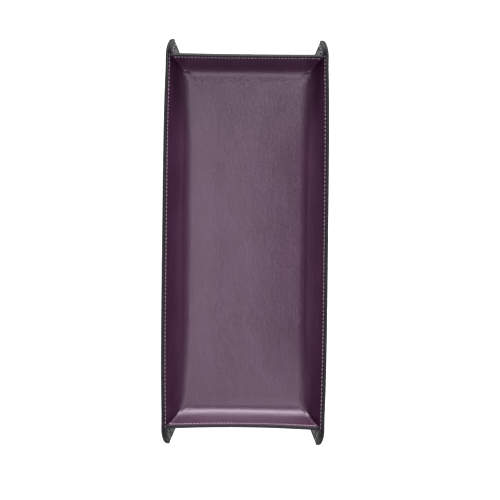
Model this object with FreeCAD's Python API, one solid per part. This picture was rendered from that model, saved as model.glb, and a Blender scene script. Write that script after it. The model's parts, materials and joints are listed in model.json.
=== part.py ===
import FreeCAD, Part
import math
import os

# Folding dice tray: one flat leather laminate whose four walls fold up and whose corners are pinched into
# ears and held by snaps. Every panel is drawn flat, bottom face on the table, and then folded about its
# crease into the snapped-up tray. Millimetres. X runs across the tray, Y along it, Z up.

# Driving dimensions
BASE_WIDTH = 112.0            # between the long creases
BASE_LENGTH = 286.0           # between the short creases
WALL_SLANT = 26.0             # crease to rim, measured along a wall
WALL_ANGLE = 65.0             # walls above the table when the corners are snapped
OUTER_SKIN = 0.8              # black leather
BOARD = 0.5                   # stiffener, and the turned hem that fills its place near the edges
LINING = 0.6                  # coloured leather
SHEET_CORNER_RADIUS = 8.0
CREASE_GAP = 0.15             # each panel stays this far from its crease
EAR_GAP = 1.0                 # between the two lining faces of a pinched ear
SIDE_CLEARANCE = 1.6          # short wall's side edge to the folded flap
FOLD_SHIFT = 1.9              # the ear's rolled fold carries the flap this far down the wall and out along it
CREASE_SHIFT = 3.5            # and, the ear being thick, its crease to the short wall lies this far inside
FLAP_EDGE_GAP = 1.8           # flap's open edge to that crease
FLAP_START = 7.0              # flap begins this far out from the base corner

BOARD_SETBACK = 7.5           # board edge to a crease
BOARD_HEM = 7.0               # board edge to the rim
BOARD_END_GAP = 6.0           # wall board's end to the base corner, along the wall

STITCH_INSET = 3.2            # seam's middle to the rim
STITCH_WIDTH = 0.9
STITCH_DEPTH = 0.3

SNAP_BELOW_RIM = 8.9
SNAP_ALONG_WALL = 11.6        # snap centre beyond the short crease, along the long wall
SNAP_CAP_RADIUS = 3.7
SNAP_SOCKET_RADIUS = 3.5
SNAP_STUD_RADIUS = 3.3
SNAP_POST_RADIUS = 3.1
SNAP_SHANK_RADIUS = 1.2
SNAP_BORE_RADIUS = 2.0
SNAP_NUB_RADIUS = 1.7
SNAP_NUB_NECK = 1.45
CAP_RECESS = 0.4              # cap and post sit this deep in the black leather
CAP_PROUD = 0.4               # and stand this far out of it
CAP_EDGE_BEVEL = 0.25
SOCKET_RECESS = 0.9
SOCKET_PROUD = 0.7
SOCKET_FLOOR = 0.2
STUD_FLANGE = 0.6
NUB_HEIGHT = 1.5
NUB_WIDEST = 0.9              # height of the nub's widest ring

SHAPE_TOLERANCE = 1e-6
HALF_TURN = 180.0
FULL_TURN = 360.0

# Derived sizes
SHEET = OUTER_SKIN + BOARD + LINING
LINING_FLOOR = OUTER_SKIN + BOARD
HALF_WIDTH = BASE_WIDTH / 2
HALF_LENGTH = BASE_LENGTH / 2
SPREAD = math.cos(math.radians(WALL_ANGLE))     # how far the walls' meeting line runs out per mm of slant
RISE = math.sin(math.radians(WALL_ANGLE))
MITRE = math.tan(math.radians(WALL_ANGLE / 2))
EAR_STACK = 2 * SHEET + EAR_GAP
SIDE_CUT = (EAR_STACK + SIDE_CLEARANCE) / RISE
DIAGONAL_GAP = CREASE_GAP * math.sqrt(2)
BEYOND_RIM = WALL_SLANT + SHEET_CORNER_RADIUS   # outlines run past the rim and are trimmed by the sheet
FLAP_HINGE_HEIGHT = SHEET + EAR_GAP / 2

UP = FreeCAD.Vector(0, 0, 1)
ORIGIN = FreeCAD.Vector(0, 0, 0)
ALONG_X = FreeCAD.Vector(1, 0, 0)
ALONG_Y = FreeCAD.Vector(0, 1, 0)


# Basic solids

def polygon_face(points):
    return Part.Face(Part.makePolygon(points + points[:1]))


def sloped_prism(outline, low, high):
    """The closed solid between an outline's shapes at two heights; its sides may slope."""
    bottom = [FreeCAD.Vector(x, y, low) for x, y in outline(low)]
    top = [FreeCAD.Vector(x, y, high) for x, y in outline(high)]
    faces = [polygon_face(bottom), polygon_face(top)]
    for i in range(len(bottom)):
        j = (i + 1) % len(bottom)
        faces.append(polygon_face([bottom[i], bottom[j], top[j], top[i]]))
    solid = Part.Solid(Part.Shell(faces))
    solid.fix(SHAPE_TOLERANCE, SHAPE_TOLERANCE, SHAPE_TOLERANCE)
    return solid if solid.Volume > 0 else solid.reversed()


def sheet_slab(inset, low, high):
    """A slice of the whole rounded sheet, drawn in from its edge by inset."""
    half_x = HALF_WIDTH + WALL_SLANT - inset
    half_y = HALF_LENGTH + WALL_SLANT - inset
    corner = FreeCAD.Vector(-half_x, -half_y, low)
    slab = Part.makeBox(2 * half_x, 2 * half_y, high - low, corner)
    upright = [e for e in slab.Edges if e.BoundBox.ZLength > e.BoundBox.XLength + e.BoundBox.YLength]
    return slab.makeFillet(SHEET_CORNER_RADIUS - inset, upright)


def disc(radius, low, high, centre):
    return Part.makeCylinder(radius, high - low, FreeCAD.Vector(centre.x, centre.y, low), UP)


def turned(profile, centre):
    """A turned solid from (radius, height) points, standing at centre."""
    points = [FreeCAD.Vector(centre.x + r, centre.y, z) for r, z in profile]
    return polygon_face(points).revolve(FreeCAD.Vector(centre.x, centre.y, 0), UP, FULL_TURN)


# Panel outlines in the flat sheet, at height z

def crease_setback(z):
    return CREASE_GAP + z * MITRE


def base_outline(z):
    x = HALF_WIDTH - crease_setback(z)
    y = HALF_LENGTH - crease_setback(z)
    return [(-x, -y), (x, -y), (x, y), (-x, y)]


def long_wall_outline(z):
    """The right wall with both ears, ending on the corner diagonals."""
    inner = crease_setback(z)
    near = HALF_LENGTH + inner - DIAGONAL_GAP
    far = HALF_LENGTH + BEYOND_RIM - DIAGONAL_GAP
    return [
        (HALF_WIDTH + inner, -near),
        (HALF_WIDTH + BEYOND_RIM, -far),
        (HALF_WIDTH + BEYOND_RIM, far),
        (HALF_WIDTH + inner, near),
    ]


def short_wall_outline(z):
    """The back wall, cut back at its sides to clear the folded flaps."""
    inner = crease_setback(z)
    near = HALF_WIDTH - SIDE_CUT + inner * SPREAD
    far = HALF_WIDTH - SIDE_CUT + BEYOND_RIM * SPREAD
    return [
        (near, HALF_LENGTH + inner),
        (far, HALF_LENGTH + BEYOND_RIM),
        (-far, HALF_LENGTH + BEYOND_RIM),
        (-near, HALF_LENGTH + inner),
    ]


def flap_outline(z):
    """The back right gusset flap, from the short wall's crease to where the ear's fold starts to roll."""
    crease_side = HALF_WIDTH - CREASE_SHIFT + FLAP_EDGE_GAP
    fold_side = HALF_WIDTH - 2 * FOLD_SHIFT - DIAGONAL_GAP
    return [
        (crease_side + FLAP_START * SPREAD, HALF_LENGTH + FLAP_START),
        (fold_side + FLAP_START, HALF_LENGTH + FLAP_START),
        (fold_side + BEYOND_RIM, HALF_LENGTH + BEYOND_RIM),
        (crease_side + BEYOND_RIM * SPREAD, HALF_LENGTH + BEYOND_RIM),
    ]


# Board rectangles in the flat sheet: (lowest x, lowest y, highest x, highest y)

def base_board_rectangle():
    x = HALF_WIDTH - BOARD_SETBACK
    y = HALF_LENGTH - BOARD_SETBACK
    return -x, -y, x, y


def long_wall_board_rectangle():
    y = HALF_LENGTH - BOARD_END_GAP
    return HALF_WIDTH + BOARD_SETBACK, -y, HALF_WIDTH + WALL_SLANT - BOARD_HEM, y


def short_wall_board_rectangle():
    x = HALF_WIDTH - SIDE_CUT - BOARD_END_GAP
    return -x, HALF_LENGTH + BOARD_SETBACK, x, HALF_LENGTH + WALL_SLANT - BOARD_HEM


# Layers of one panel

def board_solid(rectangle):
    x0, y0, x1, y1 = rectangle
    return Part.makeBox(x1 - x0, y1 - y0, BOARD, FreeCAD.Vector(x0, y0, OUTER_SKIN))


def seam_ring():
    """The band under the whole seam, as deep as its groove."""
    low = SHEET - STITCH_DEPTH
    outer = sheet_slab(STITCH_INSET - STITCH_WIDTH / 2, low, SHEET)
    inner = sheet_slab(STITCH_INSET + STITCH_WIDTH / 2, low, SHEET)
    return outer.cut(inner)


def panel_layers(outline, board_rectangle, has_seam):
    """Outer leather with its turned hem, board, lining and seam thread of one panel, still flat."""
    outer = sheet_slab(0, 0, LINING_FLOOR).common(sloped_prism(outline, 0, LINING_FLOOR))
    lining = sheet_slab(0, LINING_FLOOR, SHEET).common(sloped_prism(outline, LINING_FLOOR, SHEET))
    layers = {}
    if board_rectangle:
        layers["board"] = board_solid(board_rectangle)
        outer = outer.cut(layers["board"])
    if has_seam:
        layers["stitching"] = seam_ring().common(sloped_prism(outline, SHEET - STITCH_DEPTH, SHEET))
        lining = lining.cut(layers["stitching"])
    layers["outer_leather"] = outer
    layers["lining"] = lining
    return layers


# Snap fasteners, drawn in the flat sheet

def ear_snap_centre():
    return FreeCAD.Vector(HALF_WIDTH + WALL_SLANT - SNAP_BELOW_RIM, HALF_LENGTH + SNAP_ALONG_WALL, 0)


def flap_snap_centre():
    """The ear's snap mirrored in the flap's fold line, so that the two meet when the flap is folded."""
    x = HALF_WIDTH + SNAP_ALONG_WALL - FOLD_SHIFT
    y = HALF_LENGTH + WALL_SLANT - SNAP_BELOW_RIM + FOLD_SHIFT
    return FreeCAD.Vector(x, y, 0)


def rivet(radius, shank_top, centre):
    """A bevelled cap sunk into the black face, with a shank up through the leather."""
    return turned([
        (0, -CAP_PROUD),
        (radius - CAP_EDGE_BEVEL, -CAP_PROUD),
        (radius, CAP_EDGE_BEVEL - CAP_PROUD),
        (radius, CAP_RECESS),
        (SNAP_SHANK_RADIUS, CAP_RECESS),
        (SNAP_SHANK_RADIUS, shank_top),
        (0, shank_top),
    ], centre)


def snap_socket(centre):
    floor = SHEET - SOCKET_RECESS
    body = disc(SNAP_SOCKET_RADIUS, floor, SHEET + SOCKET_PROUD, centre)
    bore = disc(SNAP_BORE_RADIUS, floor + SOCKET_FLOOR, SHEET + SOCKET_PROUD, centre)
    return body.cut(bore).cut(disc(SNAP_SHANK_RADIUS, floor, floor + SOCKET_FLOOR, centre))


def snap_stud(centre):
    """A flange flush with the lining and a waisted nub that enters the socket."""
    flange = SHEET - STUD_FLANGE
    return turned([
        (0, flange),
        (SNAP_STUD_RADIUS, flange),
        (SNAP_STUD_RADIUS, SHEET),
        (SNAP_NUB_NECK, SHEET),
        (SNAP_NUB_RADIUS, SHEET + NUB_WIDEST),
        (SNAP_NUB_NECK, SHEET + NUB_HEIGHT),
        (0, SHEET + NUB_HEIGHT),
    ], centre)


def ear_snap(layers, centre):
    """Cut the seats for the ear's cap and socket in its leathers, and return the two pieces."""
    socket_floor = SHEET - SOCKET_RECESS
    cap = rivet(SNAP_CAP_RADIUS, socket_floor + SOCKET_FLOOR, centre)
    socket = snap_socket(centre)
    socket_seat = disc(SNAP_SOCKET_RADIUS, socket_floor, SHEET, centre)
    layers["outer_leather"] = layers["outer_leather"].cut(cap).cut(socket_seat)
    layers["lining"] = layers["lining"].cut(socket_seat)
    return {"snap_cap": cap, "snap_socket": socket}


def flap_snap(layers, centre):
    """Cut the seats for the flap's post and stud in its leathers, and return the two pieces."""
    post = rivet(SNAP_POST_RADIUS, SHEET - STUD_FLANGE, centre)
    layers["outer_leather"] = layers["outer_leather"].cut(post)
    layers["lining"] = layers["lining"].cut(disc(SNAP_STUD_RADIUS, LINING_FLOOR, SHEET, centre))
    return {"snap_post": post, "snap_stud": snap_stud(centre)}


# Folding up and mirroring

def fold_long(shape):
    folded = shape.copy()
    folded.rotate(FreeCAD.Vector(HALF_WIDTH, 0, 0), ALONG_Y, -WALL_ANGLE)
    return folded


def fold_short(shape):
    folded = shape.copy()
    folded.rotate(FreeCAD.Vector(0, HALF_LENGTH, 0), ALONG_X, WALL_ANGLE)
    return folded


def fold_flap(shape):
    """Turn a flap half round about its fold line onto its ear, then up with the long wall."""
    folded = shape.copy()
    hinge = FreeCAD.Vector(HALF_WIDTH, HALF_LENGTH + FOLD_SHIFT, FLAP_HINGE_HEIGHT)
    folded.rotate(hinge, ALONG_X + ALONG_Y, HALF_TURN)
    return fold_long(folded)


def in_corner(shape, left, front):
    """A back right shape moved to its corner by mirroring."""
    placed = shape.mirror(ORIGIN, ALONG_X) if left else shape
    return placed.mirror(ORIGIN, ALONG_Y) if front else placed


# The assembly

def build_long_wall():
    """The right wall's layers and its two snap halves, folded up."""
    layers = panel_layers(long_wall_outline, long_wall_board_rectangle(), True)
    centre = ear_snap_centre()
    back = ear_snap(layers, centre)
    front = ear_snap(layers, FreeCAD.Vector(centre.x, -centre.y, 0))
    walls = {name: fold_long(shape) for name, shape in layers.items()}
    snaps = {"back": {name: fold_long(shape) for name, shape in back.items()}}
    snaps["front"] = {name: fold_long(shape) for name, shape in front.items()}
    return walls, snaps


def build_flap():
    """The back right flap's layers and snap pieces, folded onto the ear."""
    layers = panel_layers(flap_outline, None, True)
    pieces = {**flap_snap(layers, flap_snap_centre()), **layers}
    return {name: fold_flap(shape) for name, shape in pieces.items()}


def build_tray():
    nodes = {}
    for name, shape in panel_layers(base_outline, base_board_rectangle(), False).items():
        nodes[f"base_{name}"] = shape

    back_wall = panel_layers(short_wall_outline, short_wall_board_rectangle(), True)
    for name, shape in back_wall.items():
        nodes[f"back_wall_{name}"] = fold_short(shape)
        nodes[f"front_wall_{name}"] = in_corner(fold_short(shape), False, True)

    wall_layers, wall_snaps = build_long_wall()
    flap_pieces = build_flap()
    for side, left in (("left", True), ("right", False)):
        for name, shape in wall_layers.items():
            nodes[f"{side}_wall_{name}"] = in_corner(shape, left, False)
        for end, front in (("back", False), ("front", True)):
            for name, shape in wall_snaps[end].items():
                nodes[f"{end}_{side}_{name}"] = in_corner(shape, left, False)
            for name, shape in flap_pieces.items():
                label = name if name.startswith("snap") else f"flap_{name}"
                nodes[f"{end}_{side}_{label}"] = in_corner(shape, left, front)
    return nodes


def export_parts(nodes):
    os.makedirs("parts", exist_ok=True)
    for name, shape in nodes.items():
        shape.exportStep(f"parts/{name}.step")


def print_summary(nodes):
    for name, shape in sorted(nodes.items()):
        kind = "valid" if shape.isValid() else "INVALID"
        print(f"{name}: {len(shape.Solids)} solid(s), {shape.Volume:.1f} mm3, {kind}")
    box = Part.makeCompound(list(nodes.values())).BoundBox
    size = f"{box.XLength:.1f} x {box.YLength:.1f} x {box.ZLength:.1f} mm"
    print(f"{len(nodes)} nodes, {size}, bottom {box.ZMin:.3f}")


tray = build_tray()
export_parts(tray)
print_summary(tray)
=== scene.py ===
import json
import math

import bpy
import numpy as np
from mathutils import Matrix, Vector


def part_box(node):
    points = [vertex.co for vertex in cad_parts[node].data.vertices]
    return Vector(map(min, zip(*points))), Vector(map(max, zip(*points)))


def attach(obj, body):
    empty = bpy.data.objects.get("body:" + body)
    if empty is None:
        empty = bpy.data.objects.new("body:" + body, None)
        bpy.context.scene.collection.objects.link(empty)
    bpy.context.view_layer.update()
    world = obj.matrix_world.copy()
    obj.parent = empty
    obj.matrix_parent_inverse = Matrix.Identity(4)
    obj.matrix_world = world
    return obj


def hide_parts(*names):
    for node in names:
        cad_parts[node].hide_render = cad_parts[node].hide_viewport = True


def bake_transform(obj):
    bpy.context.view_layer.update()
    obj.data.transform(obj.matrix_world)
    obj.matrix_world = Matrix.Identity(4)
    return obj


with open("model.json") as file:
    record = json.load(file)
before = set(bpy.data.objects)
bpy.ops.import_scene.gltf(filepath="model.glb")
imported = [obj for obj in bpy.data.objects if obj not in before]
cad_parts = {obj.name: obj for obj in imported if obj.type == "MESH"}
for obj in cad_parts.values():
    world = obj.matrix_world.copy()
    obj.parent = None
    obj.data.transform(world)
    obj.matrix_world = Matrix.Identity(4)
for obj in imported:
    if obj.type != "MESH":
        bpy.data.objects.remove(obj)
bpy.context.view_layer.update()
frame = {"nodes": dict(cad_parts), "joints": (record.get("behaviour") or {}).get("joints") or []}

# The tray is one flat leather laminate. Every visible leather piece is drawn on the flat sheet, u across and
# v along it from the sheet's centre, and then placed by the fold that snaps the tray up. One corner is worked
# out, with a and b the distances beyond the long and the short crease, and mirrored to the other three.

MM = 0.001
joints = {j["name"]: j for j in frame["joints"]}

# Sizes that the frame gives
HALF_WIDTH = joints["right_wall_fold"]["pos_m"][0]
HALF_LENGTH = joints["back_wall_fold"]["pos_m"][1]
WALL_ANGLE = math.radians(joints["right_wall_fold"]["range_deg"][1])
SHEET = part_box("base_lining")[1].z
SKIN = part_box("base_lining")[0].z
SLANT = (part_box("back_wall_outer_leather")[1].y - HALF_LENGTH) / math.cos(WALL_ANGLE)
SPREAD = math.cos(WALL_ANGLE)
MID = SHEET / 2
WALL_UP = Vector((math.cos(WALL_ANGLE), 0, math.sin(WALL_ANGLE)))
WALL_IN = Vector((-math.sin(WALL_ANGLE), 0, math.cos(WALL_ANGLE)))
BASE_CORNER = Vector((HALF_WIDTH, HALF_LENGTH, 0))
flap_hinge = Vector(joints["back_right_flap_fold"]["pos_m"]) - BASE_CORNER
FOLD_SHIFT = flap_hinge.y - flap_hinge.dot(WALL_UP)
FOLD_LINE = FOLD_SHIFT / math.sqrt(2)
FOLD_RADIUS = flap_hinge.dot(WALL_IN) - MID
HALF_TURN = math.pi * FOLD_RADIUS
CREASE_SHIFT = 3.5 * MM

# How the leather gives, away from the flat panels of the frame
SHEET_CORNER = {"back": 17 * MM, "front": 14.5 * MM}
LONG_SOFT = 11 * MM           # half the width of a long wall's bend
SHORT_SOFT = 12 * MM
LONG_BOW = math.radians(3.0)
LONG_BOW_POWER = 4
SHORT_BOW = {"front": math.radians(3.6), "back": math.radians(0.8)}

# The gusset's fold only turns over beyond the corner of the base
TURN_START = -5.3 * MM        # along the fold from that corner
TURN_LENGTH = 4.5 * MM

# The crease between short wall and flap, in b from the short crease
CREASE_APEX = -2.77 * MM      # where it meets the corner's diagonal
CREASE_HALF_WIDTH = 3.4 * MM
CREASE_PUSH = {"back": 0.8 * MM, "front": 0.6 * MM}
PUSH_START = 3 * MM
PUSH_LENGTH = 12 * MM
FLOOR_BLEND = 8 * MM          # how much wider the crease runs out in the floor
FLOOR_BLEND_START = 4 * MM
FLOOR_BLEND_LENGTH = 14 * MM

# The leather swells beside the middle of the long walls
FLOOR_LIFT = {"left": 3.2 * MM, "right": 5.0 * MM}
FLOOR_LIFT_START = {"left": 22 * MM, "right": 0 * MM}     # from the floor's middle line
FLOOR_LIFT_POWER = 1.9
FLOOR_LIFT_FADE = 22 * MM     # up the wall
FLOOR_LIFT_ENDS = 0.55        # share of the half length over which it comes in

# A flap's rim stands a little higher than it was cut
FLAP_REACH = 1.7 * MM
FLAP_REACH_START = 19 * MM
FLAP_REACH_LENGTH = 7 * MM
FLAP_EASE = 5 * MM

# The rim
RIM_SWELL = 0.26 * MM
RIM_SWELL_WIDTH = 2.4 * MM
PAINT_WIDTH = 0.9 * MM
EDGE_ROUND = 0.42 * MM
EDGE_FALL = 0.85              # share of a full quarter round
EDGE_TURN = 0.9               # how far the shading turns outwards on it
STEP = 0.02 * MM              # for finding directions on a surface

# The seam
STITCH_INSET = 3.2 * MM
STITCH_PITCH = {"long": 3.22 * MM, "short": 2.75 * MM}
STITCH_SHARE = 0.74           # of the pitch that a stitch covers
STITCH_RADIUS = 0.36 * MM
STITCH_LIFT = 0.05 * MM
STITCH_WOBBLE = 0.035
STITCH_PLUMPNESS = (0.92, 1.08)
FOLD_CLEARANCE = 1.0 * MM     # between a stitch and the ear's fold
CREASE_CLEARANCE = 0.9 * MM

# How finely the sheet is divided
FINE = 0.75 * MM
COARSE = 4.5 * MM
FLOOR_STEP = 3 * MM
FLOOR_EDGE_A = -12 * MM       # where the floor's piece ends and the walls' pieces begin
FLOOR_EDGE_B = FLOOR_EDGE_A + FOLD_SHIFT
LONG_FAN_START = -34 * MM     # where a long wall's columns begin to fan out to the fold line
LONG_FAN_COLUMNS = 64
SHORT_FAN_START = -22 * MM
SHORT_FAN_COLUMNS = 44
FLAP_COLUMNS = 34
ROLL_COLUMNS = 19
RIM_ROWS = (6, 4, 2.6, 2.1, 1.6, 1.2, 0.9, 0.6, 0.35, 0.17, 0.06, 0)    # inside the rim, in EDGE_ROUND


def smooth(t):
    t = np.clip(t, 0, 1)
    return t * t * (3 - 2 * t)


# ---------------------------------------------------------------- the fold

def wall_profile(a, soft, lean):
    """Mid-surface of a panel that bends up at a crease: distance out from the crease and height."""
    radius = 2 * soft / lean
    angle = lean * np.clip((a + soft) / (2 * soft), 0, 1)
    past = np.maximum(a - soft, 0)
    out = np.minimum(a, -soft) + radius * np.sin(angle) + past * np.cos(lean)
    up = MID + radius * (1 - np.cos(angle)) + past * np.sin(lean)
    miss_out = -MID * np.sin(lean) + soft * (1 + np.cos(lean)) - radius * np.sin(lean)
    miss_up = MID * (np.cos(lean) - 1) - radius * (1 - np.cos(lean)) + soft * np.sin(lean)
    settled = smooth((a + soft) / (2 * soft))
    return out + settled * miss_out, up + settled * miss_up


def along_middle(b):
    """1 in the middle of the long walls, falling to 0 at the corners."""
    return 1 - np.clip((b + HALF_LENGTH) / HALF_LENGTH, 0, 1) ** LONG_BOW_POWER


def long_chart(s, t, h):
    """Long wall and base: s up the wall, t beyond the short crease, h over the mid-surface."""
    lean = WALL_ANGLE - LONG_BOW * along_middle(t)
    out, up = wall_profile(s, LONG_SOFT, lean)
    out_next, up_next = wall_profile(s + STEP, LONG_SOFT, lean)
    steep = np.arctan2(up_next - up, out_next - out)
    out = out - h * np.sin(steep)
    return np.stack([HALF_WIDTH + out, HALF_LENGTH + t, up + h * np.cos(steep)], -1)


def short_chart(a, b, bow):
    """Short wall and base."""
    across = 1 - np.clip((a + HALF_WIDTH) / HALF_WIDTH, 0, 1) ** 2
    out, up = wall_profile(b, SHORT_SOFT, WALL_ANGLE + bow * across)
    return np.stack([HALF_WIDTH + a, HALF_LENGTH + out, up], -1)


def folded_ear(along, past):
    """The gusset turned over the corner's fold: along the fold from the base corner, and past where it starts."""
    turn = math.pi * smooth((along - TURN_START) / TURN_LENGTH)
    angle = turn * np.clip(past / HALF_TURN, 0, 1)
    rest = np.maximum(past - HALF_TURN, 0)
    side = FOLD_LINE + np.minimum(past, 0) + FOLD_RADIUS * np.sin(angle) + rest * np.cos(turn)
    over = FOLD_RADIUS * (1 - np.cos(angle)) + rest * np.sin(turn)
    return long_chart((along - side) / math.sqrt(2), (along + side) / math.sqrt(2), over)


def crease_distance(a, b):
    """Signed distance from the crease between short wall and flap, and its run on across the base."""
    slope = np.where(b > CREASE_APEX, SPREAD, 1.0)
    start = np.where(b > CREASE_APEX, -CREASE_SHIFT, -FOLD_SHIFT)
    return (a - slope * b - start) / np.sqrt(1 + slope * slope)


def corner_sheet(a, b, past, corner):
    """Mid-surface of one corner of the sheet. past is None, or the way past the start of the ear's fold."""
    distance = crease_distance(a, b)
    if past is None:
        long_side = long_chart(a, b, floor_lift(a, b, corner["side"]))
    else:
        long_side = folded_ear((a + b) / math.sqrt(2), past)
    short_side = short_chart(a, b, corner["bow"])
    half = CREASE_HALF_WIDTH + FLOOR_BLEND * smooth((FLOOR_BLEND_START - b) / FLOOR_BLEND_LENGTH)
    share = 1 - smooth((distance + half) / (2 * half))[..., None]
    placed = (1 - share) * long_side + share * short_side
    near = (1 - np.clip(np.abs(distance) / CREASE_HALF_WIDTH, 0, 1) ** 2) ** 2
    placed[..., 0] -= near * smooth((b - PUSH_START) / PUSH_LENGTH) * corner["push"]
    return placed


def flap_middle(a, b):
    """0 on both creases of a flap, 1 well between them."""
    from_fold = (b - a) / math.sqrt(2) - FOLD_LINE
    return smooth(crease_distance(a, b) / FLAP_EASE) * smooth(from_fold / FLAP_EASE)


def floor_lift(a, b, side):
    """The leather rises softly towards the long walls, most in the middle of their length."""
    begin = FLOOR_LIFT_START[side] - HALF_WIDTH
    rise = np.clip((a - begin) / -begin, 0, 1) ** FLOOR_LIFT_POWER
    fade = 1 - smooth(a / FLOOR_LIFT_FADE)
    middle = smooth(-b / (FLOOR_LIFT_ENDS * HALF_LENGTH))
    return FLOOR_LIFT[side] * rise * fade * middle


# ---------------------------------------------------------------- grids on the sheet

def rounded_corner(a, b, radius):
    """Draw a square-cornered sheet's last bit in to the rounded corner."""
    inside = SLANT - radius
    x = np.clip((a - inside) / radius, 0, None)
    y = np.clip((b - inside) / radius, 0, None)
    new_a = np.where(x > 0, inside + radius * x * np.sqrt(np.clip(1 - y * y / 2, 0, 1)), a)
    new_b = np.where(y > 0, inside + radius * y * np.sqrt(np.clip(1 - x * x / 2, 0, 1)), b)
    return new_a, new_b


def rim_distance(a, b, radius):
    """How far inside the sheet's edge a point lies."""
    x = a - (SLANT - radius)
    y = b - (SLANT - radius)
    return np.where((x > 0) & (y > 0), radius - np.hypot(x, y), SLANT - np.maximum(a, b))


def steps(low, high, step):
    count = max(2, int(math.ceil((high - low) / step)) + 1)
    return np.linspace(low, high, count)


def to_rim(low, step):
    """Grid lines from low out to the rim, close together at the rounded edge."""
    edge = SLANT - EDGE_ROUND * np.array(RIM_ROWS)
    return np.concatenate([steps(low, edge[0], step)[:-1], edge])


def long_wall_grid():
    """a outwards, and a share of the way from the tray's middle to the corner's fold line."""
    a = to_rim(FLOOR_EDGE_A, FINE)
    far = steps(-HALF_LENGTH, LONG_FAN_START, COARSE)[:-1]
    near = np.linspace(0, 1, LONG_FAN_COLUMNS)
    b = np.concatenate([
        np.repeat(far[None, :], len(a), 0),
        LONG_FAN_START + (a[:, None] + FOLD_SHIFT - LONG_FAN_START) * near[None, :],
    ], 1)
    return np.repeat(a[:, None], b.shape[1], 1), b, None


def short_wall_grid():
    """b outwards, and a share of the way from the tray's middle to the crease beside the flap."""
    b = to_rim(FLOOR_EDGE_B, FINE)
    end = np.where(b > CREASE_APEX, SPREAD * b - CREASE_SHIFT, b - FOLD_SHIFT)
    far = steps(-HALF_WIDTH, SHORT_FAN_START, COARSE)[:-1]
    near = np.linspace(0, 1, SHORT_FAN_COLUMNS)
    a = np.concatenate([
        np.repeat(far[None, :], len(b), 0),
        SHORT_FAN_START + (end[:, None] - SHORT_FAN_START) * near[None, :],
    ], 1)
    return a, np.repeat(b[:, None], a.shape[1], 1), None


def ear_rows():
    """b outwards along the ear, and a at its fold and at its crease to the short wall."""
    b = to_rim(CREASE_APEX, FINE)
    fold_a = b - FOLD_SHIFT
    crease_a = np.where(b > CREASE_APEX, SPREAD * b - CREASE_SHIFT, fold_a)
    return b, fold_a, crease_a


def flap_grid():
    """Across the flap from the end of the fold's roll to the crease beside the short wall."""
    b, fold_a, crease_a = ear_rows()
    share = np.linspace(0, 1, FLAP_COLUMNS)
    a = fold_a[:, None] + (crease_a - fold_a)[:, None] * share[None, :]
    return a, np.repeat(b[:, None], len(share), 1), np.full(a.shape, HALF_TURN)


def fold_grid():
    """Round the roll of the ear's fold."""
    b, fold_a, _ = ear_rows()
    roll = np.linspace(0, HALF_TURN, ROLL_COLUMNS)
    a = np.repeat(fold_a[:, None], len(roll), 1)
    return a, np.repeat(b[:, None], len(roll), 1), np.repeat(roll[None, :], len(b), 0)


def floor_grid():
    a = steps(-HALF_WIDTH, FLOOR_EDGE_A, FLOOR_STEP)
    b = steps(-HALF_LENGTH, FLOOR_EDGE_B, FLOOR_STEP)
    return np.repeat(a[:, None], len(b), 1), np.repeat(b[None, :], len(a), 0), None


# ---------------------------------------------------------------- leather layers

LAYERS = {
    "lining": {"bottom": SKIN - MID, "top": MID},
    "outer": {"bottom": -MID, "top": SKIN - MID},
}


def edge_drop(inset):
    """How much a layer's outer face falls where its edge is rounded over."""
    reach = 1 - np.clip(inset / EDGE_ROUND, 0, 1)
    return EDGE_ROUND * (1 - np.sqrt(1 - reach * reach)) * EDGE_FALL


def mid_surface(a, b, roll, corner):
    """Middle of the sheet. roll is None, or on a flap the way round the ear's fold."""
    if roll is None:
        return corner_sheet(a, b, None, corner)
    b = b + FLAP_REACH * smooth((b - FLAP_REACH_START) / FLAP_REACH_LENGTH) * flap_middle(a, b)
    past = roll + (b - a) / math.sqrt(2) - FOLD_LINE
    return corner_sheet(a, b, past, corner)


def short_side_surface(a, b, roll, corner):
    """The short wall next to the flap is placed with the folded ear in mind."""
    past = HALF_TURN + (b - a) / math.sqrt(2) - FOLD_LINE
    return corner_sheet(a, b, past, corner)


def offset_surface(place, a, b, roll, corner, raised):
    """Points and unit normals of a face raised over the mid-surface."""
    if roll is None:
        across = place(a + STEP, b, None, corner) - place(a - STEP, b, None, corner)
        onward = place(a, b + STEP, None, corner) - place(a, b - STEP, None, corner)
    else:
        half = STEP / 2
        across = place(a, b, roll - STEP, corner) - place(a, b, roll + STEP, corner)
        onward = place(a + half, b + half, roll, corner) - place(a - half, b - half, roll, corner)
    normal = np.cross(across, onward)
    normal = normal / np.linalg.norm(normal, axis=-1, keepdims=True)
    return place(a, b, roll, corner) + normal * np.expand_dims(raised, -1), normal


def grid_faces(rows, columns, start):
    i, j = np.meshgrid(np.arange(rows - 1), np.arange(columns - 1), indexing="ij")
    first = start + i * columns + j
    return np.stack([first, first + columns, first + columns + 1, first + 1], -1).reshape(-1, 4)


def wound(quads, points, normals):
    """The quads, each turned so that it faces along its points' normals."""
    across = points[quads[:, 2]] - points[quads[:, 0]]
    onward = points[quads[:, 3]] - points[quads[:, 1]]
    backward = (np.cross(across, onward) * normals[quads].sum(1)).sum(-1) < 0
    return np.where(backward[:, None], quads[:, ::-1], quads)


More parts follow.
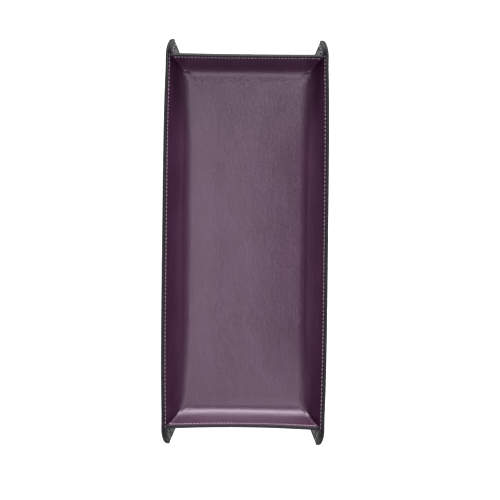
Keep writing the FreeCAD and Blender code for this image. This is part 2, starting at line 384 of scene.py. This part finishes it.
def layer_face(part, layer, face):
    """One face of a layer: points, normals and the distance inside the rim, with the rim rounded and swollen."""
    corner, place, (a, b, roll) = part["corner"], part["place"], part["grid"]
    inset = rim_distance(a, b, corner["radius"])
    outside = (face == "top") == (layer == "lining")
    swell = RIM_SWELL * smooth(1 - inset / RIM_SWELL_WIDTH)
    away = (swell - edge_drop(inset)) if outside else swell * 0
    height = LAYERS[layer][face] + away * (1 if face == "top" else -1)
    placed, normal = offset_surface(place, a, b, roll, corner, height)
    if face == "bottom":
        normal = -normal
    if outside:
        outward = np.gradient(placed, axis=0)
        outward /= np.linalg.norm(outward, axis=-1, keepdims=True) + 1e-12
        tilt = np.clip(1 - inset / EDGE_ROUND, 0, 1)
        normal = normal + outward * (EDGE_TURN * tilt)[..., None]
        normal /= np.linalg.norm(normal, axis=-1, keepdims=True)
    mirror = np.array([corner["x"], corner["y"], 1.0])
    return placed * mirror, normal * mirror, inset


def layer_mesh(name, layer, parts, materials):
    """One object from grids: both faces of a layer, joined along the rim."""
    points, normals, sheet, rims, faces, kinds = [], [], [], [], [], []
    count = 0

    def add(placed, normal, at, rim, quads, kind):
        nonlocal count
        placed, normal = placed.reshape(-1, 3), normal.reshape(-1, 3)
        faces.append(wound(quads, placed, normal) + count)
        kinds.append(kind)
        points.append(placed)
        normals.append(normal)
        sheet.append(at.reshape(-1, 2))
        rims.append(rim.reshape(-1))
        count += len(placed)

    for part in parts:
        a, b, roll = part["grid"]
        rolled = 0 if roll is None else roll / math.sqrt(2)
        at = np.stack([(HALF_WIDTH + a - rolled) * part["corner"]["x"],
                       (HALF_LENGTH + b + rolled) * part["corner"]["y"]], -1)
        quads = grid_faces(*a.shape, 0)
        sides = {}
        for face in ("top", "bottom"):
            placed, normal, inset = layer_face(part, layer, face)
            painted = inset.reshape(-1)[quads].mean(1) < PAINT_WIDTH
            add(placed, normal, at, inset, quads, painted.astype(int))
            sides[face] = placed
        if part["rim"]:
            edge = np.stack([sides["top"][-1], sides["bottom"][-1]])
            out = np.cross(np.gradient(edge[0], axis=0), edge[0] - edge[1])
            out /= np.linalg.norm(out, axis=-1, keepdims=True) + 1e-12
            inward = sides["top"][-2] - edge[0]
            out = out * -np.sign((out * inward).sum(-1, keepdims=True))
            strip = grid_faces(2, a.shape[1], 0)
            add(edge, np.stack([out, out]), np.stack([at[-1], at[-1]]), np.zeros(edge.shape[:2]), strip,
                np.ones(len(strip), int))
    return finish_mesh(name, points, normals, sheet, rims, faces, kinds, materials)


def finish_mesh(name, points, normals, sheet, rims, faces, kinds, materials):
    faces, kinds = np.concatenate(faces), np.concatenate(kinds)
    mesh = plain_mesh(name, np.concatenate(points), faces, np.concatenate(sheet), materials)
    rim = mesh.attributes.new("rim", "FLOAT", "POINT")
    rim.data.foreach_set("value", np.concatenate(rims).astype(np.float32))
    mesh.polygons.foreach_set("material_index", kinds.astype(np.int32))
    mesh.update()
    mesh.normals_split_custom_set_from_vertices(np.concatenate(normals).tolist())
    return place_mesh(name, mesh)


def plain_mesh(name, points, faces, sheet, materials):
    """A smooth mesh whose UV map holds each point's place on the flat sheet."""
    mesh = bpy.data.meshes.new(name)
    mesh.from_pydata(points.tolist(), [], faces.tolist())
    uv = mesh.uv_layers.new(name="sheet")
    loops = np.zeros(len(mesh.loops), np.int32)
    mesh.loops.foreach_get("vertex_index", loops)
    uv.data.foreach_set("uv", sheet[loops].astype(np.float32).ravel())
    for material in materials:
        mesh.materials.append(material)
    mesh.polygons.foreach_set("use_smooth", np.ones(len(mesh.polygons), bool))
    mesh.update()
    return mesh


def place_mesh(name, mesh):
    piece = bpy.data.objects.new(name, mesh)
    bpy.context.scene.collection.objects.link(piece)
    return piece


ENDS = ("back", "front")
SIDES = ("left", "right")
CORNERS = {
    f"{end}_{side}": {
        "x": 1 if side == "right" else -1,
        "y": 1 if end == "back" else -1,
        "side": side,
        "bow": SHORT_BOW[end],
        "push": CREASE_PUSH[end],
        "radius": SHEET_CORNER[end],
    }
    for end in ENDS for side in SIDES
}


# ---------------------------------------------------------------- materials

def new_material(name):
    material = bpy.data.materials.new(name)
    material.use_nodes = True
    nodes, links = material.node_tree.nodes, material.node_tree.links
    return material, nodes, links, nodes["Principled BSDF"]


def node(nodes, kind, values=None, **settings):
    made = nodes.new(kind)
    for key, value in settings.items():
        setattr(made, key, value)
    for key, value in (values or {}).items():
        made.inputs[key].default_value = value
    return made


MIX_FACTOR, MIX_A, MIX_B, MIX_RESULT = 0, 6, 7, 2     # a Mix node's sockets for colours


def two_tone(nodes, links, factor, dark, light):
    """A colour between dark and light."""
    tone = node(nodes, "ShaderNodeMix", data_type="RGBA")
    tone.inputs[MIX_A].default_value = (*dark, 1)
    tone.inputs[MIX_B].default_value = (*light, 1)
    links.new(factor, tone.inputs[MIX_FACTOR])
    return tone.outputs[MIX_RESULT]


def bump(nodes, links, height, distance, before=None):
    """A bump of that depth, on top of the bump before it."""
    made = node(nodes, "ShaderNodeBump", {"Strength": 1.0, "Distance": distance})
    links.new(height, made.inputs["Height"])
    if before:
        links.new(before, made.inputs["Normal"])
    return made.outputs["Normal"]


def sheet_noise(nodes, links, stretch, values):
    """Noise on the sheet, with that many cells to the metre across and along."""
    noise = node(nodes, "ShaderNodeTexNoise", {"Scale": 1.0, **values})
    links.new(sheet_coordinates(nodes, links, stretch), noise.inputs["Vector"])
    return noise.outputs["Fac"]


def sheet_coordinates(nodes, links, stretch):
    """Sheet position in grain cells, so that the grain runs on through every fold."""
    uv = node(nodes, "ShaderNodeUVMap", uv_map="sheet")
    scaled = node(nodes, "ShaderNodeVectorMath", operation="MULTIPLY")
    scaled.inputs[1].default_value = stretch
    links.new(uv.outputs["UV"], scaled.inputs[0])
    return scaled.outputs[0]


PEBBLES = (1700, 1350, 1)     # cells to the metre, across and along the sheet
WRINKLES = (480, 240, 1)
STREAKS = (210, 26, 1)
CLOUDS = (38, 22, 1)
PEBBLE_WARP = (0.9, 0.9, 0.9)
PEBBLE_EDGE = 0.32            # share of a pebble that slopes
# Painted shade: the share of the leather's colour left in the grooves between the pebbles
PAINTED_GROOVE_SHADE = 0.62
FINE_SHARE = 0.35             # of the grain's depth
WRINKLE_DEPTH = 0.12 * MM
CLOUD_DEPTH = 0.5 * MM
COAT_ROUGHNESS = 0.42


def leather(name, dark, light, roughness, grain_depth, coat, shine, sheen_tint):
    """Pebbled leather: cells for the grain with painted shade in the grooves between them, slow mottling, and a
    pressed line under the seam.
    """
    material, nodes, links, shader = new_material(name)
    cells_at = sheet_coordinates(nodes, links, PEBBLES)
    warp = node(nodes, "ShaderNodeTexNoise", {"Scale": 0.7, "Detail": 2.0})
    bent = node(nodes, "ShaderNodeVectorMath", {1: PEBBLE_WARP}, operation="MULTIPLY_ADD")
    cells = node(nodes, "ShaderNodeTexVoronoi", {"Scale": 1.0, "Randomness": 1.0}, feature="DISTANCE_TO_EDGE")
    pebble = node(nodes, "ShaderNodeMapRange", {"From Min": 0.0, "From Max": PEBBLE_EDGE},
                  interpolation_type="SMOOTHSTEP")
    fine = node(nodes, "ShaderNodeTexNoise", {"Scale": 2.6, "Detail": 4.0, "Roughness": 0.6})
    links.new(cells_at, warp.inputs["Vector"])
    links.new(warp.outputs["Color"], bent.inputs[0])
    links.new(cells_at, bent.inputs[2])
    links.new(bent.outputs[0], cells.inputs["Vector"])
    links.new(cells.outputs["Distance"], pebble.inputs["Value"])
    links.new(cells_at, fine.inputs["Vector"])
    streaks = sheet_noise(nodes, links, STREAKS, {"Detail": 5.0, "Roughness": 0.62})
    clouds = sheet_noise(nodes, links, CLOUDS, {"Detail": 3.0, "Roughness": 0.5})
    wrinkles = sheet_noise(nodes, links, WRINKLES, {"Detail": 3.0, "Roughness": 0.55, "Distortion": 0.6})

    mottle = node(nodes, "ShaderNodeMath", {1: 0.5}, operation="MULTIPLY_ADD")
    tone = node(nodes, "ShaderNodeMapRange", {"From Min": 0.5, "From Max": 1.0})
    # Painted shade in the grooves between the pebbles: the base colour is multiplied down towards each cell's edge
    shade = node(nodes, "ShaderNodeMapRange", {"To Min": PAINTED_GROOVE_SHADE, "To Max": 1.0})
    painted_groove_shade = node(nodes, "ShaderNodeMix", {MIX_FACTOR: 1.0}, data_type="RGBA", blend_type="MULTIPLY")
    links.new(streaks, mottle.inputs[0])
    links.new(clouds, mottle.inputs[2])
    links.new(mottle.outputs[0], tone.inputs["Value"])
    links.new(pebble.outputs["Result"], shade.inputs["Value"])
    links.new(two_tone(nodes, links, tone.outputs["Result"], dark, light), painted_groove_shade.inputs[MIX_A])
    links.new(shade.outputs["Result"], painted_groove_shade.inputs[MIX_B])
    links.new(painted_groove_shade.outputs[MIX_RESULT], shader.inputs["Base Color"])

    rough = node(nodes, "ShaderNodeMapRange", {"To Min": roughness - 0.06, "To Max": roughness + 0.08})
    links.new(fine.outputs["Fac"], rough.inputs["Value"])
    links.new(rough.outputs["Result"], shader.inputs["Roughness"])

    height = node(nodes, "ShaderNodeMath", {1: FINE_SHARE}, operation="MULTIPLY_ADD")
    links.new(fine.outputs["Fac"], height.inputs[0])
    links.new(pebble.outputs["Result"], height.inputs[2])
    normal = bump(nodes, links, wrinkles, WRINKLE_DEPTH)
    normal = bump(nodes, links, height.outputs[0], grain_depth, normal)
    normal = seam_groove(nodes, links, normal)
    normal = bump(nodes, links, clouds, CLOUD_DEPTH, normal)
    links.new(normal, shader.inputs["Normal"])
    shader.inputs["Coat Weight"].default_value = coat
    shader.inputs["Coat Roughness"].default_value = COAT_ROUGHNESS
    shader.inputs["Specular IOR Level"].default_value = shine
    shader.inputs["Specular Tint"].default_value = (*sheen_tint, 1)
    return material


GROOVE_REACH = 1.1 * MM
GROOVE_DEPTH = 0.28 * MM


def seam_groove(nodes, links, before):
    """The leather is drawn in along the stitch line."""
    rim = node(nodes, "ShaderNodeAttribute", attribute_name="rim")
    away = node(nodes, "ShaderNodeMath", {1: STITCH_INSET}, operation="SUBTRACT")
    size = node(nodes, "ShaderNodeMath", operation="ABSOLUTE")
    pulled = node(nodes, "ShaderNodeMapRange", {"From Min": 0.0, "From Max": GROOVE_REACH},
                  interpolation_type="SMOOTHERSTEP")
    links.new(rim.outputs["Fac"], away.inputs[0])
    links.new(away.outputs[0], size.inputs[0])
    links.new(size.outputs[0], pulled.inputs["Value"])
    return bump(nodes, links, pulled.outputs["Result"], GROOVE_DEPTH, before)


def edge_paint():
    material, nodes, links, shader = new_material("edge_paint")
    wear = sheet_noise(nodes, links, (900, 900, 1), {"Detail": 4.0})
    colour = two_tone(nodes, links, wear, (0.006, 0.006, 0.007), (0.026, 0.024, 0.027))
    links.new(colour, shader.inputs["Base Color"])
    links.new(bump(nodes, links, wear, 0.08 * MM), shader.inputs["Normal"])
    shader.inputs["Roughness"].default_value = 0.5
    shader.inputs["Specular IOR Level"].default_value = 0.15
    return material


def thread_material():
    """Twisted thread. A stitch's UV map runs along and round it."""
    material, nodes, links, shader = new_material("thread")
    ply_bands_and_shade = node(nodes, "ShaderNodeTexWave", {"Scale": 1.0, "Distortion": 0.6}, wave_type="BANDS",
               bands_direction="DIAGONAL")
    links.new(sheet_coordinates(nodes, links, (3, 5, 1)), ply_bands_and_shade.inputs["Vector"])
    # Painted shade between the plies: the thread's colour runs from dark to light across each ply band, the same
    # bands that give the twist bump
    colour = two_tone(nodes, links, ply_bands_and_shade.outputs["Fac"], (0.20, 0.165, 0.20), (0.40, 0.345, 0.40))
    links.new(colour, shader.inputs["Base Color"])
    twist = node(nodes, "ShaderNodeBump", {"Strength": 0.8, "Distance": 0.08 * MM})
    links.new(ply_bands_and_shade.outputs["Fac"], twist.inputs["Height"])
    links.new(twist.outputs["Normal"], shader.inputs["Normal"])
    shader.inputs["Roughness"].default_value = 0.55
    shader.inputs["Sheen Weight"].default_value = 0.3
    return material


def object_noise(nodes, links, scale, detail):
    place = node(nodes, "ShaderNodeTexCoord")
    noise = node(nodes, "ShaderNodeTexNoise", {"Scale": scale, "Detail": detail})
    links.new(place.outputs["Object"], noise.inputs["Vector"])
    return noise.outputs["Fac"]


def lacquered_snap():
    material, nodes, links, shader = new_material("snap_lacquer")
    wear = object_noise(nodes, links, 1400.0, 4.0)
    colour = two_tone(nodes, links, wear, (0.012, 0.012, 0.013), (0.035, 0.034, 0.036))
    links.new(colour, shader.inputs["Base Color"])
    rough = node(nodes, "ShaderNodeMapRange", {"To Min": 0.34, "To Max": 0.5})
    links.new(wear, rough.inputs["Value"])
    links.new(rough.outputs["Result"], shader.inputs["Roughness"])
    shader.inputs["Specular IOR Level"].default_value = 0.45
    return material


def fibre_board():
    material, nodes, links, shader = new_material("fibre_board")
    fibre = object_noise(nodes, links, 600.0, 5.0)
    colour = two_tone(nodes, links, fibre, (0.26, 0.20, 0.14), (0.40, 0.33, 0.24))
    links.new(colour, shader.inputs["Base Color"])
    shader.inputs["Roughness"].default_value = 0.85
    return material


LINING = leather(
    "lining_leather",
    dark=(0.036, 0.009, 0.029),
    light=(0.055, 0.017, 0.046),
    roughness=0.29,
    grain_depth=0.028 * MM,
    coat=0.06,
    shine=0.50,
    sheen_tint=(1.0, 0.82, 1.0),
)
OUTER = leather(
    "outer_leather",
    dark=(0.006, 0.0055, 0.006),
    light=(0.012, 0.011, 0.012),
    roughness=0.48,
    grain_depth=0.06 * MM,
    coat=0.0,
    shine=0.25,
    sheen_tint=(1.0, 1.0, 1.0),
)
EDGE = edge_paint()
THREAD = thread_material()
SNAP = lacquered_snap()
FIBRE = fibre_board()


# ---------------------------------------------------------------- leather pieces

LAYER_LOOK = {"lining": LINING, "outer": OUTER}
LAYER_NODE = {"lining": "lining", "outer": "outer_leather"}


def sheet_part(corner, grid, place, rim):
    a, b, roll = grid
    if rim:
        a, b = rounded_corner(a, b, CORNERS[corner]["radius"])
    return {"corner": CORNERS[corner], "grid": (a, b, roll), "place": place, "rim": rim}


def make_layer(name, panel, layer, parts):
    """One layer's skin of a panel, which stands in for the panel's CAD leather and its hidden board."""
    piece = layer_mesh(f"{name}_{layer}_skin", layer, parts, [LAYER_LOOK[layer], EDGE])
    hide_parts(f"{panel}_{LAYER_NODE[layer]}")
    if layer == "outer" and f"{panel}_board" in frame["nodes"]:
        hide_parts(f"{panel}_board")
    return piece


def make_floor(layer):
    parts = [sheet_part(corner, floor_grid(), mid_surface, False) for corner in CORNERS]
    piece = make_layer("floor", "base", layer, parts)
    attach(piece, "base")


def make_long_wall(side, layer):
    parts = [sheet_part(f"{end}_{side}", long_wall_grid(), mid_surface, True) for end in ENDS]
    piece = make_layer(f"{side}_wall", f"{side}_wall", layer, parts)
    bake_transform(piece)


def make_short_wall(end_name, layer):
    parts = [sheet_part(f"{end_name}_{side}", short_wall_grid(), short_side_surface, True) for side in SIDES]
    piece = make_layer(f"{end_name}_wall", f"{end_name}_wall", layer, parts)
    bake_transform(piece)


def make_flap(corner, layer):
    """The flap beside the short wall, and the roll of the fold that joins it to its ear."""
    middle = FOLD_RADIUS + MID
    flap_reach = middle - (SHEET if layer == "lining" else SKIN)
    roll_reach = middle - (SKIN if layer == "lining" else 0)
    for name, grid, reach in (("flap", flap_grid(), flap_reach), ("fold", fold_grid(), roll_reach)):
        parts = [sheet_part(corner, grid, mid_surface, True)]
        piece = make_layer(f"{corner}_{name}", f"{corner}_flap", layer, parts)
        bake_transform(piece)


for layer in LAYERS:
    make_floor(layer)
    for side in SIDES:
        make_long_wall(side, layer)
    for end_name in ENDS:
        make_short_wall(end_name, layer)
    for corner in CORNERS:
        make_flap(corner, layer)


# ---------------------------------------------------------------- seam

def stitch_shape():
    """A short thread bridge between two holes: plump in the middle, diving at the ends."""
    rings, spokes = 9, 8
    flatness, dive, thinnest = 0.8, 0.9, 0.02
    along = -np.cos(np.linspace(0, math.pi, rings))
    swell = np.sqrt(np.clip(1 - along ** 4, thinnest, 1))
    turn = np.linspace(0, 2 * math.pi, spokes, endpoint=False)
    x = np.repeat(along[:, None], spokes, 1)
    y = swell[:, None] * np.cos(turn)[None, :]
    z = swell[:, None] * np.sin(turn)[None, :] * flatness - dive * np.abs(along[:, None]) ** 5
    faces = grid_faces(rings, spokes + 1, 0)
    faces = faces // (spokes + 1) * spokes + (faces % (spokes + 1)) % spokes
    return np.stack([x, y, z], -1).reshape(-1, 3), faces


def seam_line(kind, radius):
    """Middles of the stitches on one corner's share of a panel, and the way they run, on the sheet."""
    line = SLANT - STITCH_INSET
    inner = radius - STITCH_INSET
    straight_end = SLANT - radius
    if kind == "long":
        pitch, length = STITCH_PITCH["long"], HALF_LENGTH + straight_end
    else:
        pitch, length = STITCH_PITCH["short"], HALF_WIDTH + straight_end
    whole = length + inner * math.pi / 4
    places = (np.arange(int(whole / pitch)) + 0.5) * pitch
    arc = np.clip(places - length, 0, None) / inner
    run = np.minimum(places, length) - (length - straight_end)
    onward = np.where(arc > 0, straight_end + inner * np.sin(arc), run)
    across = np.where(arc > 0, straight_end + inner * np.cos(arc), line)
    heading = np.stack([-np.sin(arc), np.cos(arc)], -1)
    if kind == "long":
        return across, onward, heading, pitch
    return onward, across, heading[:, ::-1], pitch


def stitch_row(source, shape, above, random):
    """One corner's share of a panel's stitches on one face of the sheet: a shape's points for each stitch."""
    corner_name, kind, place, roll, keep = source
    corner = CORNERS[corner_name]
    a, b, heading, pitch = seam_line(kind, corner["radius"])
    wanted = keep(a, b)
    a, b, heading = a[wanted], b[wanted], heading[wanted]
    half = pitch * STITCH_SHARE / 2
    rolled = None if roll is None else np.full(len(a), roll)
    raised = (MID + STITCH_LIFT) * (1 if above else -1)
    at, normal = offset_surface(place, a, b, rolled, corner, raised)
    next_a, next_b = a + heading[:, 0] * STEP, b + heading[:, 1] * STEP
    ahead, _ = offset_surface(place, next_a, next_b, rolled, corner, raised)
    forward = ahead - at
    forward /= np.linalg.norm(forward, axis=-1, keepdims=True)
    up = normal if above else -normal
    side = np.cross(up, forward)
    wobble = random.normal(0, STITCH_WOBBLE, len(a))
    forward = forward + side * wobble[:, None]
    plump = STITCH_RADIUS * random.uniform(*STITCH_PLUMPNESS, len(a))
    stitches = (at[:, None, :]
                + forward[:, None, :] * (shape[None, :, :1] * half)
                + side[:, None, :] * (shape[None, :, 1:2] * plump[:, None, None])
                + up[:, None, :] * (shape[None, :, 2:3] * plump[:, None, None]))
    return stitches * np.array([corner["x"], corner["y"], 1.0])


def make_seam(name, body, sources, cad_node, seed):
    shape, shape_faces = stitch_shape()
    random = np.random.default_rng(seed)
    points, faces, sheet, count = [], [], [], 0
    for source in sources:
        corner = CORNERS[source[0]]
        for above in (True, False):
            stitches = stitch_row(source, shape, above, random)
            points.append(stitches.reshape(-1, 3))
            sheet.append(np.tile(shape[:, :2], (len(stitches), 1)))
            shifts = count + np.arange(len(stitches))[:, None, None] * len(shape)
            quads = (shape_faces[None] + shifts).reshape(-1, 4)
            faces.append(quads if corner["x"] * corner["y"] > 0 else quads[:, ::-1])
            count += len(stitches) * len(shape)
    mesh = plain_mesh(name, np.concatenate(points), np.concatenate(faces), np.concatenate(sheet), [THREAD])
    piece = place_mesh(name, mesh)
    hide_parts(cad_node)
    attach(piece, body)


def on_long_wall(a, b):
    return b < a + FOLD_SHIFT - FOLD_CLEARANCE


def on_short_wall(a, b):
    return crease_distance(a, b) < -CREASE_CLEARANCE


def on_flap(a, b):
    return (crease_distance(a, b) > -CREASE_CLEARANCE) & (b > a + FOLD_SHIFT + FOLD_CLEARANCE)


LONG_WALL_SEED, SHORT_WALL_SEED, FLAP_SEED = 10, 20, 30

for number, side in enumerate(SIDES):
    sources = [(f"{end}_{side}", kind, mid_surface, None, on_long_wall)
               for kind in ("long", "short") for end in ENDS]
    make_seam(f"{side}_wall_seam", f"{side}_wall", sources, f"{side}_wall_stitching", LONG_WALL_SEED + number)
for number, end_name in enumerate(ENDS):
    wall = f"{end_name}_wall"
    sources = [(f"{end_name}_{side}", "short", short_side_surface, None, on_short_wall) for side in SIDES]
    make_seam(f"{wall}_seam", wall, sources, f"{wall}_stitching", SHORT_WALL_SEED + number)
for number, corner in enumerate(CORNERS):
    flap = f"{corner}_flap"
    sources = [(corner, kind, mid_surface, HALF_TURN, on_flap) for kind in ("short", "long")]
    make_seam(f"{flap}_seam", flap, sources, f"{flap}_stitching", FLAP_SEED + number)


# ---------------------------------------------------------------- carried-over CAD pieces

def dress(cad_object, material):
    cad_object.data.materials.clear()
    cad_object.data.materials.append(material)


for name, cad_object in frame["nodes"].items():
    if "_snap_" in name:
        dress(cad_object, SNAP)
    elif name.endswith("board"):
        dress(cad_object, FIBRE)


# ---------------------------------------------------------------- floor, light and camera

def make_stage():
    size = 3.0
    height = -0.8 * MM        # just clear of the tray's underside
    mesh = bpy.data.meshes.new("studio_floor")
    corners = [(-size, -size, height), (size, -size, height), (size, size, height), (-size, size, height)]
    mesh.from_pydata(corners, [], [(0, 1, 2, 3)])
    material, _, _, shader = new_material("studio_floor")
    shader.inputs["Base Color"].default_value = (0.92, 0.92, 0.92, 1)
    shader.inputs["Roughness"].default_value = 0.8
    shader.inputs["Emission Color"].default_value = (1, 1, 1, 1)
    shader.inputs["Emission Strength"].default_value = 0.6
    mesh.materials.append(material)
    place_mesh("studio_floor", mesh)


def area_light(name, place, target, width, height, power):
    light = bpy.data.lights.new(name, "AREA")
    light.shape = "RECTANGLE"
    light.size, light.size_y = width, height
    light.energy = power
    lamp = bpy.data.objects.new(name, light)
    lamp.location = place
    lamp.rotation_mode = "QUATERNION"
    lamp.rotation_quaternion = (Vector(target) - Vector(place)).to_track_quat("-Z", "Y")
    bpy.context.scene.collection.objects.link(lamp)


def make_light():
    world = bpy.data.worlds.new("studio")
    bpy.context.scene.world = world
    world.use_nodes = True
    background = world.node_tree.nodes["Background"]
    background.inputs["Color"].default_value = (1, 1, 1, 1)
    background.inputs["Strength"].default_value = 0.33
    area_light("overhead_strip", place=(0.17, 0.34, 2.40), target=(0.17, 0.33, 0), width=0.22, height=2.0, power=27)
    area_light("back_strip", place=(0.10, 1.70, 0.50), target=(0, -0.1, 0), width=1.8, height=0.6, power=78)
    area_light("front_fill", place=(0.10, -1.60, 1.90), target=(0, 0, 0), width=1.6, height=1.2, power=32)


def make_camera():
    """Straight down from above the tray, which lies a little off the middle of the picture and slightly turned."""
    distance = 1.3
    field = 0.410             # width of the view at rim height
    rim_height = 0.024
    sensor = 36
    aim = Vector((4.1 * MM, -7.0 * MM, 0))
    turned = math.radians(0.67)
    camera = bpy.data.cameras.new("camera")
    camera.sensor_width = sensor
    camera.lens = sensor * (distance - rim_height) / field
    eye = bpy.data.objects.new("camera", camera)
    eye.location = aim + Vector((0, 0, distance))
    eye.rotation_euler = (0, 0, turned)
    bpy.context.scene.collection.objects.link(eye)
    bpy.context.scene.camera = eye


make_stage()
make_light()
make_camera()
bpy.context.scene.view_settings.view_transform = "Standard"
